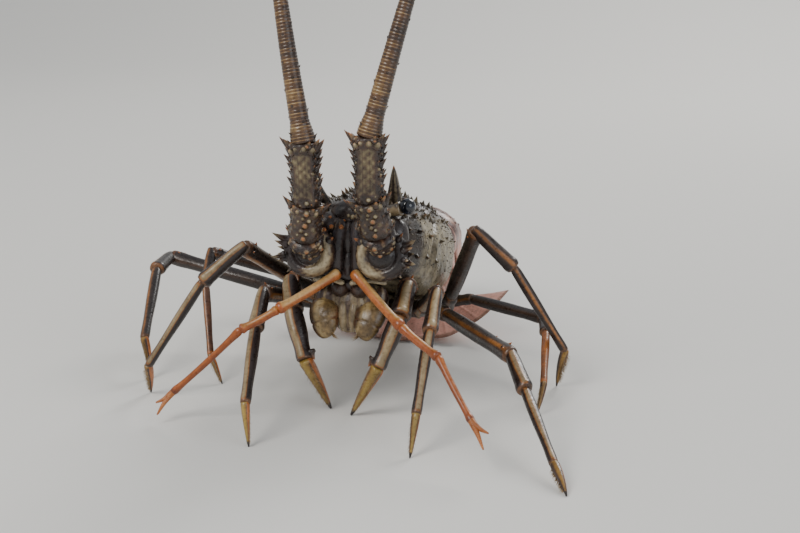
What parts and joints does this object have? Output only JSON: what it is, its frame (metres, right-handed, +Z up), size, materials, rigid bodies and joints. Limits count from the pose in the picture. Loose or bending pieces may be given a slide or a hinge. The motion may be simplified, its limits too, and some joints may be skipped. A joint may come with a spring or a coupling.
{
  "type": "spiny lobster model",
  "caption": "Life-size still model of a spiny lobster standing on its legs, antennae raised, spiny shell, striped legs and curled tail with a fan.",
  "frame": {"origin": "on the floor, under the middle of the whole animal's box", "axes": "+Z up, -Y the way the lobster faces, +X its left side"},
  "size_m": [0.2426, 0.2754, 0.4152],
  "materials": {
    "shell_grey": "mottled grey-brown shell, satin",
    "shell_dark": "dark purple-brown shell with cream and orange knobs, satin",
    "leg_dark": "dark leg shell with cream stripes along it, satin gloss",
    "claw_ochre": "ochre to orange-brown claw with a dark tip",
    "feeler_orange": "orange-red feeler, satin gloss",
    "antenna_brown": "ringed orange-brown antenna, satin",
    "tail_rose": "rose-brown tail shell with pale spots, satin",
    "eye_black": "glossy blue-black eye"
  },
  "bodies": {
    "root": {"carapace": "shell_grey", "sternum": "leg_dark", "face": "shell_dark", "eye_left": "eye_black", "eye_right": "eye_black", "antenna_left_middle": "shell_dark", "antenna_left_last": "shell_dark", "antenna_left_whip_lower": "antenna_brown", "antenna_left_whip_upper": "antenna_brown", "antenna_right_middle": "shell_dark", "antenna_right_last": "shell_dark", "antenna_right_whip_lower": "antenna_brown", "antenna_right_whip_upper": "antenna_brown", "antennule_left": "feeler_orange", "antennule_right": "feeler_orange", "jaw_foot_left": "shell_dark", "jaw_foot_right": "shell_dark", "tail_1": "tail_rose", "tail_2": "tail_rose", "tail_3": "tail_rose", "tail_4": "tail_rose", "tail_5": "tail_rose", "tail_6": "tail_rose", "tail_fan_middle": "tail_rose", "tail_fan_left_inner": "tail_rose", "tail_fan_left_outer": "tail_rose", "tail_fan_right_inner": "tail_rose", "tail_fan_right_outer": "tail_rose", "leg_left_1_upper": "leg_dark", "leg_left_1_lower": "leg_dark", "leg_left_1_claw": "claw_ochre", "leg_left_2_upper": "leg_dark", "leg_left_2_lower": "leg_dark", "leg_left_2_claw": "claw_ochre", "leg_left_3_upper": "leg_dark", "leg_left_3_lower": "leg_dark", "leg_left_3_claw": "claw_ochre", "leg_left_4_upper": "leg_dark", "leg_left_4_lower": "leg_dark", "leg_left_4_claw": "claw_ochre", "leg_left_5_upper": "leg_dark", "leg_left_5_lower": "leg_dark", "leg_left_5_claw": "claw_ochre", "leg_right_1_upper": "leg_dark", "leg_right_1_lower": "leg_dark", "leg_right_1_claw": "claw_ochre", "leg_right_2_upper": "leg_dark", "leg_right_2_lower": "leg_dark", "leg_right_2_claw": "claw_ochre", "leg_right_3_upper": "leg_dark", "leg_right_3_lower": "leg_dark", "leg_right_3_claw": "claw_ochre", "leg_right_4_upper": "leg_dark", "leg_right_4_lower": "leg_dark", "leg_right_4_claw": "claw_ochre", "leg_right_5_upper": "leg_dark", "leg_right_5_lower": "leg_dark", "leg_right_5_claw": "claw_ochre"}
  },
  "joints": []
}
